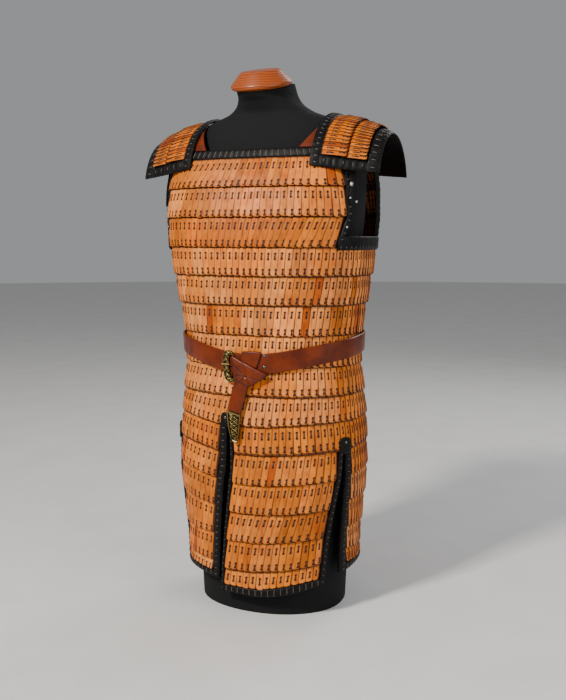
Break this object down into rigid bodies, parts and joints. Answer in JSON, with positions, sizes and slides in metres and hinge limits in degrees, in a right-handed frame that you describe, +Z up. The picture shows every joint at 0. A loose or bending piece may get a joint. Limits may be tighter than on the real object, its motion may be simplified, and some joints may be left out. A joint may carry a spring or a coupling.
{
  "type": "lamellar armour on a dress form",
  "caption": "Laced tan leather lamellar armour with a split skirt, black edging, shoulder guards and a knotted belt, shown on a limbless black dress form.",
  "frame": {"origin": "on the base plane of the dress form, under the middle of the whole part", "axes": "+Z up, the figure faces -Y and its left side is +X"},
  "size_m": [0.5182, 0.3492, 1.1059],
  "materials": {
    "lamella_leather": "waxed and handled, satin",
    "edging_leather": "satin black",
    "belt_leather": "polished red brown",
    "antique_brass": "dark in its hollows, worn bright on its edges",
    "steel_rivet": "dull",
    "form_jersey": "matt knitted jersey",
    "cap_wood": "stained and varnished"
  },
  "bodies": {
    "root": {"arm_strap_left": "edging_leather", "arm_strap_right": "edging_leather", "armhole_binding_left": "edging_leather", "armhole_binding_right": "edging_leather", "back_row_1": "lamella_leather", "back_row_2": "lamella_leather", "back_row_3": "lamella_leather", "belt_band": "belt_leather", "belt_chape": "antique_brass", "belt_fold": "belt_leather", "belt_knot": "belt_leather", "belt_rivet_1": "steel_rivet", "belt_rivet_2": "steel_rivet", "belt_tail": "belt_leather", "body_row_10": "lamella_leather", "body_row_4": "lamella_leather", "body_row_5": "lamella_leather", "body_row_6": "lamella_leather", "body_row_7": "lamella_leather", "body_row_8": "lamella_leather", "body_row_9": "lamella_leather", "breast_row_1": "lamella_leather", "breast_row_2": "lamella_leather", "breast_row_3": "lamella_leather", "buckle_frame": "antique_brass", "buckle_pin": "antique_brass", "form_torso": "form_jersey", "guard_left_border": "edging_leather", "guard_left_inner_row": "lamella_leather", "guard_left_outer_row": "lamella_leather", "guard_right_border": "edging_leather", "guard_right_inner_row": "lamella_leather", "guard_right_outer_row": "lamella_leather", "neck_cap": "cap_wood", "shoulder_strap_left": "belt_leather", "shoulder_strap_right": "belt_leather", "skirt_back_row_11": "lamella_leather", "skirt_back_row_12": "lamella_leather", "skirt_back_row_13": "lamella_leather", "skirt_back_row_14": "lamella_leather", "skirt_back_row_15": "lamella_leather", "skirt_binding_back": "edging_leather", "skirt_binding_front_left": "edging_leather", "skirt_binding_front_right": "edging_leather", "skirt_front_left_row_11": "lamella_leather", "skirt_front_left_row_12": "lamella_leather", "skirt_front_left_row_13": "lamella_leather", "skirt_front_left_row_14": "lamella_leather", "skirt_front_left_row_15": "lamella_leather", "skirt_front_right_row_11": "lamella_leather", "skirt_front_right_row_12": "lamella_leather", "skirt_front_right_row_13": "lamella_leather", "skirt_front_right_row_14": "lamella_leather", "skirt_front_right_row_15": "lamella_leather", "slit_head_front": "edging_leather", "slit_head_left": "edging_leather", "slit_head_right": "edging_leather", "top_binding_back": "edging_leather", "top_binding_front": "edging_leather"}
  },
  "joints": []
}
